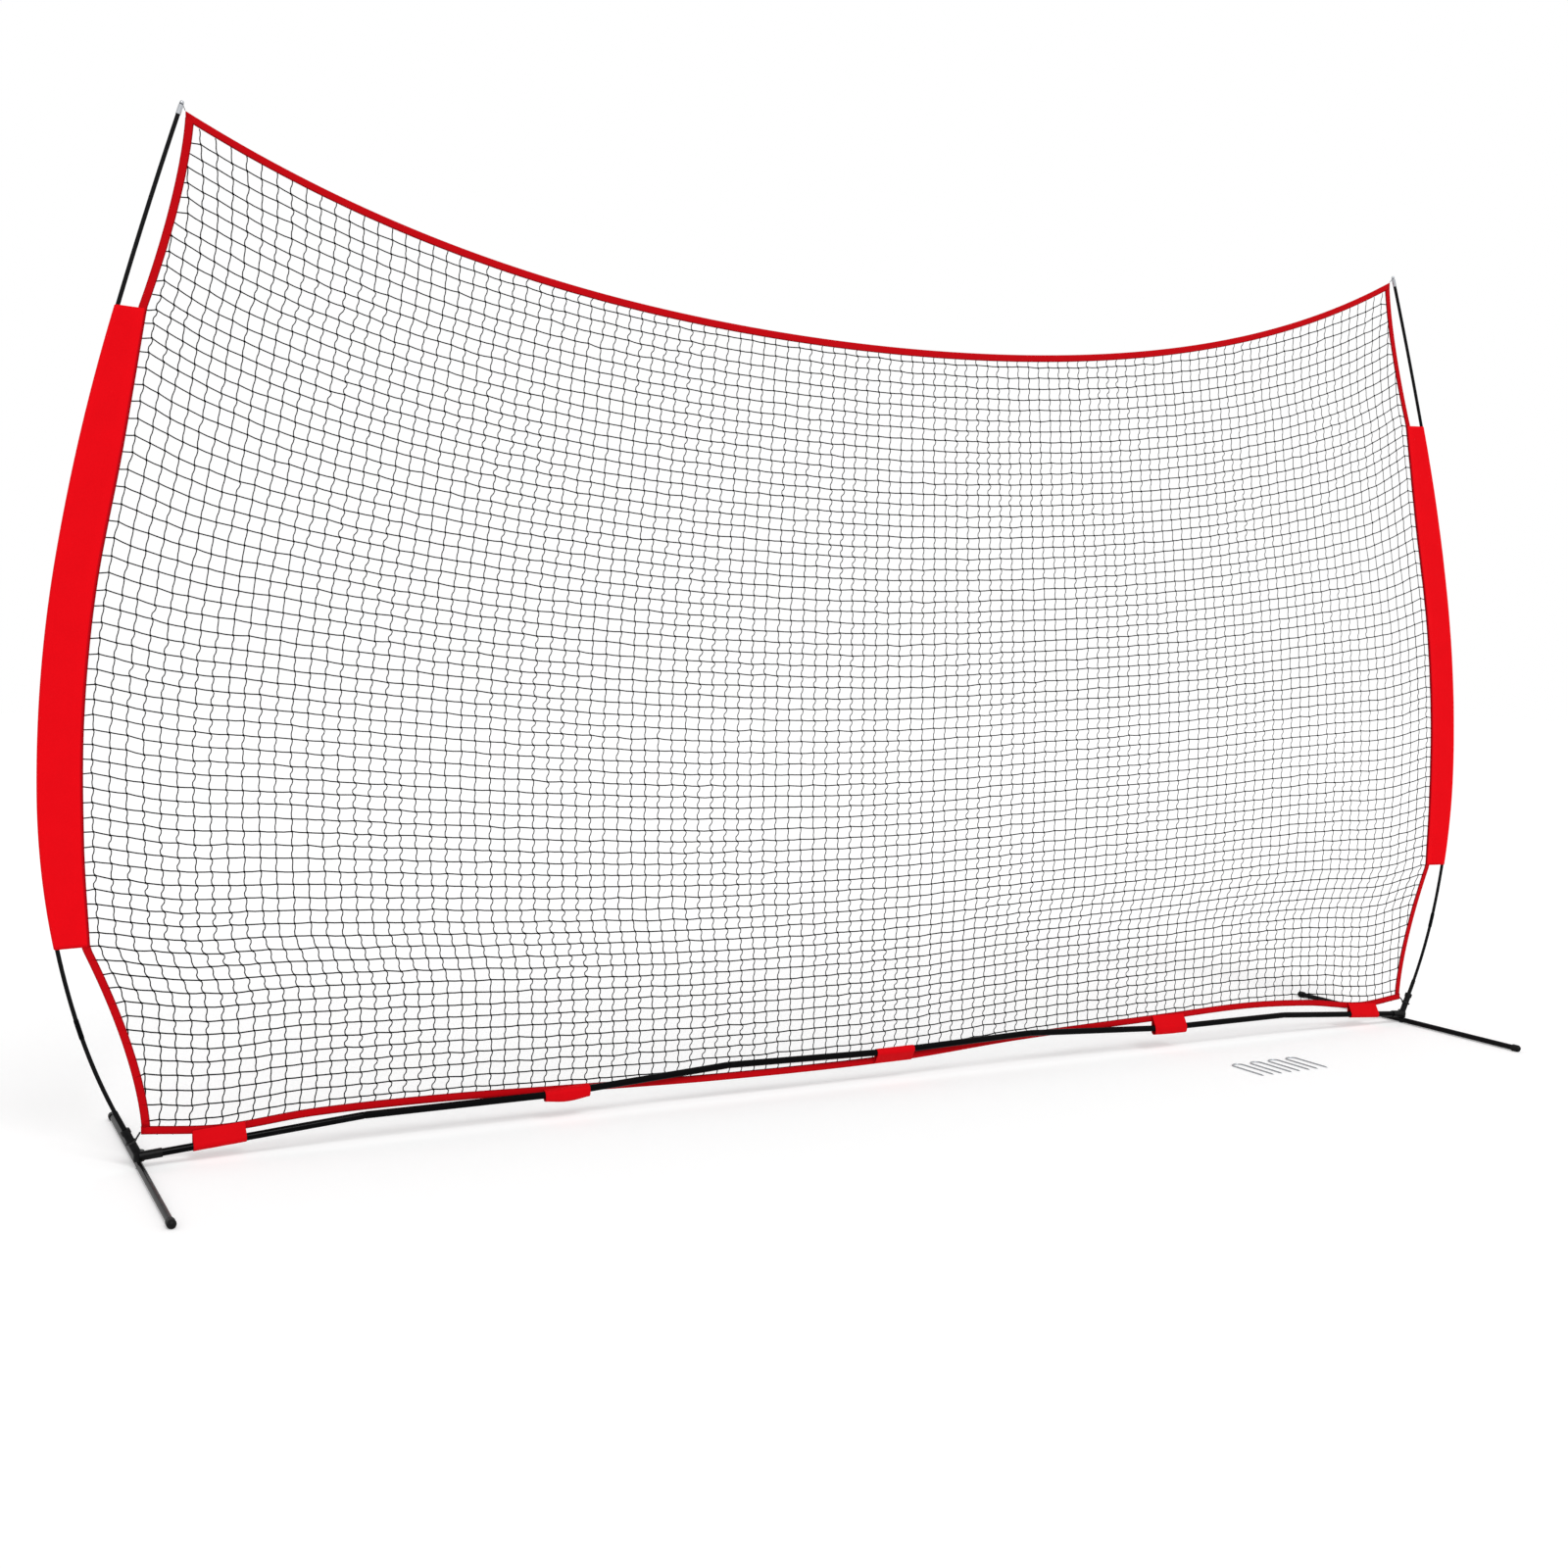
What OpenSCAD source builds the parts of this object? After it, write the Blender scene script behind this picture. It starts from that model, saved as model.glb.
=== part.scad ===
// Free-standing sports barrier net on two bow poles, millimetres.
// X runs along the base, +Y lies behind the net, Z is up.
// The origin is on the ground, in the middle of the footprint.

/* [Base] */
// Distance between the two foot pivots
hub_span = 4880; // [4400:10:5900]
// Height of the base tube's axis above the ground at each hub
hub_h = 38; // [37:1:50]
// Length of each of the six inner base tubes, joint to joint
section_len = 600; // [480:10:720]
// Height of the tube joint in the middle
joint_h_0 = 109; // [80:1:140]
// Height of the first joints out from the middle
joint_h_1 = 121; // [80:1:150]
// Height of the second joints out from the middle
joint_h_2 = 87; // [70:1:110]
// Height of the third joints out from the middle
joint_h_3 = 86; // [70:1:110]
// Outside diameter of the base tubes
base_d = 22; // [18:1:24]
// Wall of the base and foot tubes
tube_wall = 1.1; // [0.8:0.1:1.6]
// Length of each swaged spigot inside the next tube
spigot_len = 45; // [30:1:70]
// Distance of the base tubes in front of the pole plane
base_forward = 8; // [7.5:0.5:10]

/* [Feet] */
// Length of each foot over its end caps
foot_len = 1174; // [800:2:1500]
// Outside diameter of the foot tubes
foot_d = 20; // [16:1:20]
// Outside diameter of the foot end caps
cap_d = 26; // [24:1:26]
// Length of each foot end cap
cap_len = 34; // [30:1:50]
// Depth of the flat on which each end cap stands
cap_flat = 0.5; // [0.3:0.1:1]
// Diameter of the swivel bolt
bolt_d = 8; // [6:1:10]
// Diameter of the swivel bolt's low head
bolt_head_d = 18; // [14:1:22]
// Thickness of the swivel bolt's low head
bolt_head_h = 1.8; // [1.2:0.1:2]

/* [Hubs] */
// Diameter of the upright boss over the swivel
boss_d = 30; // [26:1:36]
// Height of the boss's top above the base tube's axis
boss_rise = 15; // [12:1:25]
// Outside diameter of the sleeve that takes the base tube
base_socket_d = 27; // [26:0.5:28]
// Length of the sleeve that takes the base tube
base_socket_len = 62; // [45:1:90]
// Outside diameter of the socket that takes the pole
pole_socket_d = 23; // [18:1:26]
// Length of the socket that takes the pole
pole_socket_len = 84; // [70:1:110]
// Outside diameter of the collar on the pole socket
collar_d = 28; // [26:1:32]
// Length of the collar on the pole socket
collar_len = 15; // [10:1:20]

/* [Poles] */
// Diameter of the fibreglass pole rods
pole_d = 12; // [10:0.5:13]
// Lean of the pole's straight root away from upright, degrees
root_angle = 25.5; // [21:0.1:31]
// Length of the pole's straight root
root_len = 121; // [105:1:145]
// Length of the lowest rod
rod_1_len = 282; // [235:1:340]
// Length of each of the three middle rods
rod_len = 656; // [546:1:700]
// Length of the top rod, up to the metal cap
top_rod_len = 611; // [508:1:734]
// Bend of the first rod, degrees
bend_1 = 9.6; // [8:0.1:12]
// Bend of the second rod, degrees
bend_2 = 16.3; // [13.5:0.1:19.6]
// Bend of the third rod, degrees
bend_3 = 9.6; // [8:0.1:12]
// Bend of the fourth rod, degrees
bend_4 = 6.1; // [5:0.1:8]
// Bend of the top rod, degrees
bend_5 = 2.1; // [1.7:0.1:2.6]
// Length of each ferrule
ferrule_len = 56; // [40:1:70]
// Length of the metal cap on the pole's end
tip_len = 40; // [34:1:48]
// Lean of the poles and net away from upright, degrees
lean_back = 1; // [0:0.1:3]

/* [Net and fabric] */
// Twine thickness of the netting
twine = 2.2; // [1.6:0.1:2.4]
// Width of the netting's drawn strands
strand_w = 5; // [3:0.5:8]
// Number of gaps drawn along the net
gaps_x = 22; // [10:1:23]
// Number of gaps drawn up the net
gaps_z = 13; // [6:1:13]
// Width of the binding round the net
binding_w = 20; // [15:1:26]
// Thickness of one layer of binding
binding_ply = 0.7; // [0.5:0.1:0.9]
// Dip of the net's top edge below its corners
top_dip = 446; // [300:1:600]
// Height from the net's top corner down to the sleeve
sleeve_drop = 548; // [450:1:660]
// Height of the sleeve's lower end above the ground
sleeve_foot = 637; // [530:1:770]
// Height of the net's bottom corner above the ground
corner_h = 106; // [96:1:125]
// Draw-in of the net's side below the sleeve
lower_draw = 151; // [125:1:190]
// Draw-in of the net's side above the sleeve
upper_draw = 133; // [110:1:160]
// Thickness of one layer of sleeve fabric
sleeve_ply = 0.8; // [0.6:0.1:1]
// Width of each strap along the base tube
strap_w = 148; // [120:1:180]
// Thickness of the strap fabric
strap_ply = 1.2; // [0.8:0.1:1.6]
// Distance of the end straps from the hubs
strap_inset = 220; // [150:1:280]

/* [Ground stakes] */
// Length of each stake
stake_len = 180; // [150:1:260]
// Width of each stake between its legs' axes
stake_w = 46; // [38:1:60]
// Diameter of the stake's rod
stake_d = 5; // [4:0.5:6]
// Distance between one stake and the next
stake_step = 85; // [75:1:110]

/* [Hidden] */
hub_x = hub_span / 2;
base_y = -base_forward;
base_r = base_d / 2;
bore_r = base_r - tube_wall;
foot_z = cap_d / 2 - cap_flat;
foot_r = foot_d / 2;
pole_r = pole_d / 2;
slip = 0.1;       // clearance of a tube that pushes into another
turn_gap = 0.05;  // clearance of the swivel bolt
rest_gap = 0.3;   // clearance of soft pieces and of the swivel
fine = 48;        // faces round a tube
arc_fn = 720;     // steps round the wide bends

// Tube joints from the middle out to the right hub, as [x, height]
joints = [
    [0, joint_h_0], [section_len, joint_h_1], [2 * section_len, joint_h_2],
    [3 * section_len, joint_h_3], [hub_x, hub_h]
];
function joint_at(k) = k < 0 ? [-joints[-k][0], joints[-k][1]] : joints[k];
function tube_angle(k) =
    let (d = joint_at(k + 1) - joint_at(k)) atan2(d[1], d[0]);
function joint_below(x, k = -4) = k == 3 || joint_at(k + 1)[0] > x ? k : joint_below(x, k + 1);
function base_h(x) =
    let (k = joint_below(x), a = joint_at(k))
    a[1] + (x - a[0]) * tan(tube_angle(k));

// Pole line in the plane of the bow: a straight root, then one even bend for each rod
rod_lens = [rod_1_len, rod_len, rod_len, rod_len, top_rod_len];
rod_bends = [bend_1, bend_2, bend_3, bend_4, bend_5];
rods = len(rod_lens);
root_dir = [sin(root_angle), cos(root_angle)];
function outward(angle) = [cos(angle), -sin(angle)];
function heading(i) = i == 0 ? root_angle : heading(i - 1) - rod_bends[i - 1];
function bend_r(i) = rod_lens[i] / rod_bends[i] * 180 / PI;
function rod_foot(i) =
    i == 0 ? [hub_x, hub_h] + root_len * root_dir
    : rod_foot(i - 1) + bend_r(i - 1) * (outward(heading(i)) - outward(heading(i - 1)));
feet = [for (i = [0 : rods]) rod_foot(i)];
headings = [for (i = [0 : rods]) heading(i)];
centres = [for (i = [0 : rods - 1]) feet[i] - bend_r(i) * outward(headings[i])];
top_angle = headings[rods];
top_dir = [sin(top_angle), cos(top_angle)];
cap_base = feet[rods];

function rod_at(z, i = 0) = i == rods - 1 || z < feet[i + 1][1] ? i : rod_at(z, i + 1);
function pole_x(z) =
    z < feet[0][1] ? hub_x + (z - hub_h) * tan(root_angle)
    : let (i = rod_at(z)) centres[i][0] + sqrt(pow(bend_r(i), 2) - pow(z - centres[i][1], 2));

// Net outline, tied to the cap at the top and to the hub at the bottom
top_corner = cap_base + [-21.5, 13.5];
bottom_corner_x = hub_x - 8;
side_foot_x = hub_x - 10;
sleeve_top = top_corner[1] - sleeve_drop;
side_mid_x = side_foot_x + lower_draw;
side_top_x = top_corner[0] + upper_draw;
lower_power = 1.55;
upper_power = 1.445;
// Bulge of the side beyond the straight line between the sleeve's ends, as [share, bulge]
side_bulge = [[0, 0], [0.16, 39], [0.36, 68], [0.56, 66], [0.78, 29.5], [1, 0]];
net_y = 7;                 // netting's mid-plane behind the pole plane
slot = twine + 0.6;        // room for the netting inside the binding
binding_t = slot + 2 * binding_ply;
edge_inset = 4;            // distance of the netting's rim from the binding's outer edge

function hermite(s, a, b, ma, mb) =
    (2 * pow(s, 3) - 3 * pow(s, 2) + 1) * a + (pow(s, 3) - 2 * pow(s, 2) + s) * ma
    + (3 * pow(s, 2) - 2 * pow(s, 3)) * b + (pow(s, 3) - pow(s, 2)) * mb;
// Smooth curve through a few points, each [place, value]
function slope_at(points, k) =
    let (a = points[max(k - 1, 0)], b = points[min(k + 1, len(points) - 1)])
    (b[1] - a[1]) / (b[0] - a[0]);
function span_at(points, at, k = 0) =
    k == len(points) - 2 || points[k + 1][0] > at ? k : span_at(points, at, k + 1);
function through(points, at) =
    let (k = span_at(points, at), run = points[k + 1][0] - points[k][0])
    hermite((at - points[k][0]) / run, points[k][1], points[k + 1][1],
            slope_at(points, k) * run, slope_at(points, k + 1) * run);
function side_x(z) =
    let (low = sleeve_foot, high = sleeve_top, share = (z - low) / (high - low))
    z <= low ? side_foot_x + lower_draw * pow(max(z - corner_h, 0) / (low - corner_h), lower_power)
    : z <= high ? side_mid_x + share * (side_top_x - side_mid_x) + through(side_bulge, share)
    : top_corner[0] + upper_draw * pow(max(top_corner[1] - z, 0) / sleeve_drop, upper_power);
function top_h(x) =
    let (u = x / top_corner[0])
    top_corner[1] - top_dip * (1 - 0.725 * pow(u, 2) - 0.275 * pow(u, 4));

// Middle of the bottom binding, as [share of the half width, height above its corner]
hem = [
    [-1, 0], [-0.91, -18], [-0.80, 0], [-0.64, 1], [-0.478, -11], [-0.25, -27], [0.014, -27],
    [0.23, 0], [0.507, 18], [0.67, 27], [0.80, 12], [0.91, -18], [1, 0]
];
function hem_h(x) = corner_h + through(hem, x / bottom_corner_x);

straps = [-(hub_x - strap_inset), -1163, 34, 1234, hub_x - strap_inset];
strap_slack = [1, 20, 2, 12, 1];   // how far each strap hangs below the tube

steel = "#26272b";
rod_black = "#101114";
moulded = "#17181b";
bright = "#b9bcc1";
red_fabric = "#e0051a";
red_binding = "#c4041a";
twine_black = "#1c1e22";

// Puts a right-hand piece on its side: side is 1 for right, -1 for left
module on_side(side) {
    if (side > 0) children();
    else mirror([1, 0, 0]) children();
}

// Lays a drawing of the bow plane upright, leaning back about the hubs
module in_bow_plane(y = 0) {
    translate([0, 0, hub_h])
        rotate([-lean_back, 0, 0])
            translate([0, y, -hub_h])
                rotate([90, 0, 0]) children();
}

// Extrudes a bow-plane outline from front to back, t thick round the netting's plane
module sheet(t) {
    in_bow_plane(net_y) linear_extrude(t, center = true) children();
}

// ---- base ----
// Tube k runs from joint k to joint k + 1, and its swaged spigot enters the next tube.
// The end tubes stop inside the hubs instead.
tube_seat = 22;   // distance of an end tube's mouth from the hub's axis
module along_tube(k, from) {
    at = joint_at(k);
    translate([at[0], base_y, at[1]]) rotate([0, 90 - tube_angle(k), 0])
        translate([0, 0, from]) children();
}

module base_tube(k) {
    last = k == 3;
    shoulder = 8;
    mouth_gap = 1.4;   // room for the kink between two tubes
    lip = 0.4;         // rim of the shoulder round the spigot
    start = k == -4 ? tube_seat : mouth_gap;
    run = norm(joint_at(k + 1) - joint_at(k));
    end = last ? run - tube_seat : run - shoulder;
    spigot_r = bore_r - slip;
    color(steel)
        difference() {
            union() {
                along_tube(k, start) cylinder(h = end - start, r = base_r, $fn = fine);
                if (!last) {
                    along_tube(k, end)
                        cylinder(h = shoulder, r1 = base_r, r2 = spigot_r + lip, $fn = fine);
                    along_tube(k + 1, -1) cylinder(h = spigot_len + 1, r = spigot_r, $fn = fine);
                }
            }
            along_tube(k, start - 1)
                cylinder(h = end - start + (last ? 2 : 1), r = bore_r, $fn = fine);
            if (!last)
                along_tube(k + 1, -shoulder - 2)
                    cylinder(h = spigot_len + shoulder + 3, r = spigot_r - tube_wall, $fn = fine);
        }
}

// ---- hubs ----
ferrule_wall = 0.6;
rod_sag = pow(ferrule_len / 2, 2) / 2 / min([for (i = [0 : rods - 1]) bend_r(i)]);
ferrule_room = 2 * slip + rod_sag;   // the ferrule is straight and the rods in it are bent
ferrule_r = pole_d / 2 + ferrule_room + ferrule_wall;
root_r = pole_d / 2 + 1.6;   // radius of the steel root that the lowest rod stands in
root_seat = 22;              // distance of the root's foot from the hub's axis
bolt_grip = 13;              // length of the swivel bolt inside the hub
module along_pole_root(from = 0) {
    translate([hub_x, 0, hub_h]) rotate([-lean_back, 0, 0]) rotate([0, root_angle, 0])
        translate([0, 0, from]) children();
}

module along_base_end(from = 0) {
    translate([hub_x, base_y, hub_h]) rotate([0, -90 - tube_angle(3), 0])
        translate([0, 0, from]) children();
}

module hub(side) {
    boss_foot = foot_z + foot_r + rest_gap;
    color(moulded) on_side(side)
        difference() {
            union() {
                translate([hub_x, 0, boss_foot])
                    cylinder(h = hub_h + boss_rise - boss_foot, d = boss_d, $fn = fine);
                along_base_end() cylinder(h = base_socket_len, d = base_socket_d, $fn = fine);
                along_pole_root() cylinder(h = pole_socket_len, d = pole_socket_d, $fn = fine);
            }
            along_base_end(tube_seat - 0.5)
                cylinder(h = base_socket_len, r = base_r + slip, $fn = fine);
            along_pole_root(root_seat - 0.5)
                cylinder(h = pole_socket_len, r = root_r + slip, $fn = fine);
            translate([hub_x, 0, boss_foot - 1])
                cylinder(h = bolt_grip + 1.2, d = bolt_d + slip, $fn = fine);
        }
}

module socket_collar(side) {
    lip = 3;
    color(moulded) on_side(side)
        along_pole_root(pole_socket_len - collar_len + lip)
            difference() {
                union() {
                    cylinder(h = collar_len - 2, d = collar_d, $fn = fine);
                    translate([0, 0, collar_len - 2])
                        cylinder(h = 2, d1 = collar_d, d2 = collar_d - 4, $fn = fine);
                }
                translate([0, 0, -1])
                    cylinder(h = collar_len - lip + 1, d = pole_socket_d + slip, $fn = fine);
                cylinder(h = collar_len + 2, r = root_r + slip, $fn = fine);
            }
}

// ---- feet ----
cap_bore = 26;   // depth of the end cap over the tube
module foot_tube(side) {
    half = foot_len / 2 - cap_len + cap_bore;
    color("#3b3c41") on_side(side)
        difference() {
            translate([hub_x, half, foot_z]) rotate([90, 0, 0])
                difference() {
                    cylinder(h = 2 * half, r = foot_r, $fn = fine);
                    translate([0, 0, -1])
                        cylinder(h = 2 * half + 2, r = foot_r - tube_wall, $fn = fine);
                }
            translate([hub_x, 0, 0])
                cylinder(h = 2 * foot_z, d = bolt_d + 2 * turn_gap, $fn = fine);
        }
}

module foot_cap() {
    r = cap_d / 2;
    rotate([-90, 0, 0])
        rotate_extrude($fn = fine)
            difference() {
                union() {
                    square([r, cap_len - r]);
                    translate([0, cap_len - r]) intersection() {
                        circle(r, $fn = fine);
                        square(r);
                    }
                }
                square([foot_r + turn_gap, cap_bore + turn_gap]);
                translate([r - 1.5, 0]) rotate(-45) square(4);
            }
}

module foot_caps(side) {
    color(moulded) on_side(side)
        difference() {
            for (way = [-1, 1])
                translate([hub_x, way * (foot_len / 2 - cap_len), foot_z])
                    rotate([0, 0, way > 0 ? 0 : 180]) foot_cap();
            translate([hub_x - cap_d, -foot_len, -cap_d])
                cube([2 * cap_d, 2 * foot_len, cap_d]);
        }
}

module swivel_bolt(side) {
    seat = foot_z - foot_r;
    tip = foot_z + foot_r + rest_gap + bolt_grip;
    color(bright) on_side(side)
        translate([hub_x, 0, 0]) {
            translate([0, 0, seat]) cylinder(h = tip - seat, d = bolt_d, $fn = fine);
            translate([0, 0, seat - bolt_head_h / 2])
                cylinder(h = bolt_head_h / 2, d = bolt_head_d, $fn = fine);
            translate([0, 0, seat - bolt_head_h])
                cylinder(h = bolt_head_h / 2, d1 = bolt_head_d - 5, d2 = bolt_head_d, $fn = fine);
        }
}

// ---- poles ----
root_cup = 24;    // depth of the cup in the steel root
cap_cover = 24;   // how far the top rod runs up inside the metal cap
module pole_root(side) {
    color(rod_black) on_side(side)
        along_pole_root(root_seat)
            difference() {
                cylinder(h = root_len + root_cup - root_seat, r = root_r, $fn = fine);
                translate([0, 0, root_len - root_seat])
                    cylinder(h = root_cup + 1, r = root_r - 1, $fn = fine);
            }
}

// Rod i is one even bend; the top rod runs on into the metal cap
module pole_rod(i, side) {
    r = bend_r(i);
    gap = slip / r * 180 / PI;
    turn = rod_bends[i] - 2 * gap + (i == rods - 1 ? cap_cover / r * 180 / PI : 0);
    color(rod_black) on_side(side) in_bow_plane()
        translate([centres[i][0], centres[i][1], 0]) rotate([0, 0, -headings[i] + gap])
            rotate_extrude(angle = turn, $fn = arc_fn)
                translate([r, 0]) circle(pole_r, $fn = fine);
}

module pole_ferrules(side) {
    color(bright) on_side(side) in_bow_plane()
        for (i = [1 : rods - 1])
            translate([feet[i][0], feet[i][1], 0]) rotate([0, 0, -headings[i]])
                rotate([-90, 0, 0])
                    difference() {
                        cylinder(h = ferrule_len, r = ferrule_r, center = true, $fn = fine);
                        cylinder(h = ferrule_len + 2, r = pole_r + ferrule_room, center = true, $fn = fine);
                    }
}

tip_skirt = tip_len - 13;   // length of the cap's plain skirt, up to the groove
tip_groove = 4.5;           // width of the groove that holds the corner elastic
tip_neck = 3.6;             // radius of the cap inside that groove
module pole_tip(side) {
    skirt = tip_skirt;
    groove = tip_groove;
    outer = pole_r + 1.1;
    color(bright) on_side(side) in_bow_plane()
        translate([cap_base[0], cap_base[1], 0]) rotate([0, 0, -top_angle]) rotate([-90, 0, 0])
            rotate_extrude($fn = fine)
                difference() {
                    union() {
                        square([outer, skirt]);
                        translate([0, skirt]) square([tip_neck, groove]);
                        translate([0, skirt + groove]) square([outer - 0.8, 3]);
                        translate([0, skirt + groove + 3]) intersection() {
                            circle(outer - 0.8, $fn = fine);
                            square(outer);
                        }
                    }
                    square([pole_r + turn_gap, cap_cover + 0.5]);
                }
}

// ---- netting and binding ----
// Edge points of the netting, inset inside the binding; u runs -1 to 1, v runs 0 to 1
top_run = top_corner[0] - edge_inset;
foot_run = side_foot_x - edge_inset;
function top_pt(u) = let (x = u * top_run) [x, top_h(x) - edge_inset];
function foot_pt(u) = let (x = u * foot_run) [x, hem_h(x) - binding_w / 2 + edge_inset];
function side_pt(v, side) =
    let (low = foot_pt(side), high = top_pt(side), z = low[1] + v * (high[1] - low[1]))
    [v <= 0 ? low[0] : v >= 1 ? high[0] : side * (side_x(z) - edge_inset), z];
// Heights at which the side edges bend, with their two kinks at the sleeve's ends
function steps_between(low, high, n) = [for (k = [0 : n - 1]) low + (high - low) * k / n];
side_levels = concat(steps_between(corner_h, sleeve_foot, 9),
                     steps_between(sleeve_foot, sleeve_top, 21),
                     steps_between(sleeve_top, top_corner[1], 9));
function side_zs(low, high) = [for (z = side_levels) if (z > low + 4 && z < high - 4) z];
function side_rim(side) =
    [for (z = side_zs(foot_pt(side)[1], top_pt(side)[1])) [side * (side_x(z) - edge_inset), z]];
function net_pt(i, j) =
    let (p = i / gaps_x, u = 2 * p - 1, v = j / gaps_z)
    (1 - v) * foot_pt(u) + v * top_pt(u) + (1 - p) * side_pt(v, -1) + p * side_pt(v, 1)
    - (1 - p) * (1 - v) * foot_pt(-1) - p * (1 - v) * foot_pt(1)
    - (1 - p) * v * top_pt(-1) - p * v * top_pt(1);
rim_x = 2 * gaps_x;
left_rim = side_rim(-1);
net_rim = concat(
    [for (i = [0 : rim_x]) foot_pt(2 * i / rim_x - 1)], side_rim(1),
    [for (i = [rim_x : -1 : 0]) top_pt(2 * i / rim_x - 1)],
    [for (k = [len(left_rim) - 1 : -1 : 0]) left_rim[k]]
);
selvage = 12;   // solid edge of the netting, hidden inside the binding
function margin(at_rim) = at_rim ? selvage : strand_w / 2;
function net_gap(i, j) =
    let (left = margin(i == 0), right = margin(i == gaps_x - 1),
         low = margin(j == 0), high = margin(j == gaps_z - 1))
    [net_pt(i, j) + [left, low], net_pt(i + 1, j) + [-right, low],
     net_pt(i + 1, j + 1) + [-right, -high], net_pt(i, j + 1) + [left, -high]];

module net_panel() {
    gaps = [for (i = [0 : gaps_x - 1]) for (j = [0 : gaps_z - 1]) net_gap(i, j)];
    rim_n = len(net_rim);
    points = concat(net_rim, [for (g = gaps) for (p = g) p]);
    paths = concat(
        [[for (k = [0 : rim_n - 1]) k]],
        [for (g = [0 : len(gaps) - 1]) [for (k = [0 : 3]) rim_n + 4 * g + k]]
    );
    color(twine_black) sheet(twine) polygon(points, paths);
}

// A folded tape: two layers, closed along the outer edge and open towards the netting
module folded(edge, toward_net) {
    n = len(edge);
    module band(from, to)
        polygon(concat(
            [for (k = [0 : n - 1]) edge[k] + from * toward_net],
            [for (k = [n - 1 : -1 : 0]) edge[k] + to * toward_net]
        ));
    color(red_binding)
        difference() {
            sheet(binding_t) band(0, binding_w);
            sheet(slot) band(2, binding_w + 1);
        }
}

steps_top = 32;
module top_binding() {
    edge = [for (k = [0 : steps_top])
        let (x = (2 * k / steps_top - 1) * top_corner[0]) [x, top_h(x)]];
    folded(edge, [0, -1]);
}

steps_hem = 48;
module bottom_binding() {
    edge = [for (k = [0 : steps_hem])
        let (x = (2 * k / steps_hem - 1) * bottom_corner_x) [x, hem_h(x) - binding_w / 2]];
    folded(edge, [0, 1]);
}

module side_binding(side) {
    low = corner_h + binding_w / 2 + rest_gap;
    high = top_h(top_corner[0] + 6) - binding_w - rest_gap;
    edge = [for (z = concat([low], side_zs(low, high), [high])) [side_x(z), z]];
    // the top end is cut to the slope of the top binding
    color(red_binding) on_side(side)
        difference() {
            folded(edge, [-1, 0]);
            sheet(2 * binding_t)
                polygon([for (x = [-60, 0, 40]) [top_corner[0] + x,
                            top_h(top_corner[0] + x) - binding_w - rest_gap],
                         top_corner + [40, 60], top_corner + [-60, 60]]);
        }
}

// ---- sleeves ----
// One folded cloth: round the pole on its outer side, both layers sewn to the binding.
// Its section at height z starts at the front seam, goes round the pole and back to the
// rear seam, then returns along the inner face.
steps_sleeve = 24;
steps_round = 8;
tunnel_r = ferrule_r + 0.9;
function sleeve_path(z, r, half) =
    let (x = pole_x(z), seam = side_x(z) - binding_w)
    concat(
        [[seam, half - net_y], [side_x(z) + 3, half - net_y]],
        [for (k = [0 : steps_round])
            let (t = 100 - 200 * k / steps_round) [x + r * cos(t), r * sin(t)]],
        [[side_x(z) + 3, -half - net_y], [seam, -half - net_y]]
    );
function sleeve_ring(z) =
    let (half = binding_t / 2 + rest_gap, inner = sleeve_path(z, tunnel_r, half),
         outer = sleeve_path(z, tunnel_r + sleeve_ply, half + sleeve_ply), n = len(outer))
    [for (k = [0 : 2 * n - 1])
        let (p = k < n ? outer[k] : inner[2 * n - 1 - k]) [p[0], z, p[1]]];

module sleeve(side) {
    rings = [for (k = [0 : steps_sleeve])
        sleeve_ring(sleeve_foot + (sleeve_top - sleeve_foot) * k / steps_sleeve)];
    m = len(rings[0]);
    half_m = m / 2;
    walls = [for (k = [0 : steps_sleeve - 1]) for (i = [0 : m - 1])
        let (a = k * m + i, b = k * m + (i + 1) % m) each [[a, b + m, b], [a, a + m, b + m]]];
    end = steps_sleeve * m;
    caps = [for (i = [0 : half_m - 2])
        let (a = i, b = i + 1, c = m - 2 - i, d = m - 1 - i)
        each [[a, c, d], [a, b, c], [end + a, end + d, end + c], [end + a, end + c, end + b]]];
    color(red_fabric) on_side(side) in_bow_plane()
        polyhedron([for (ring = rings) each ring], concat(walls, caps));
}

// ---- straps ----
// A fabric loop round the base tube, sewn to the front of the bottom binding
module base_strap(i) {
    x = straps[i];
    ends = [x - strap_w / 2, x + strap_w / 2];
    rise = base_h(ends[1]) - base_h(ends[0]);
    low = (base_h(ends[0]) + base_h(ends[1])) / 2;
    hem_mid = hem_h(x);
    over = hem_mid > low;
    in_r = base_r + rest_gap + 0.2;
    out_r = in_r + strap_ply;
    edge_z = over ? hem_mid + binding_w / 2 : hem_mid - binding_w / 2;
    lowest = min(hem_h(ends[0]), hem_h(ends[1])) - binding_w / 2;
    back_y = net_y - binding_t / 2 - rest_gap + (lowest - hub_h) * tan(lean_back);
    color(red_fabric)
        translate([x, 0, 0]) rotate([0, -atan2(rise, strap_w), 0])
            rotate([90, 0, 90]) linear_extrude(strap_w, center = true)
                difference() {
                    strap_outline(out_r, edge_z, back_y - 2 * strap_ply - 0.4, back_y, low, i);
                    strap_outline(in_r, edge_z + (over ? -strap_ply : strap_ply),
                                  back_y - strap_ply - 0.3, back_y - strap_ply - 0.1, low, i);
                }
}

module strap_outline(r, edge_z, front_y, back_y, low, i) {
    slack = strap_slack[i];
    hull() {
        translate([base_y, low]) circle(r, $fn = 32);
        translate([base_y, low - slack]) circle(r, $fn = 32);
        translate([front_y, min(edge_z, low)])
            square([back_y - front_y, abs(edge_z - low)]);
    }
}

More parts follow.
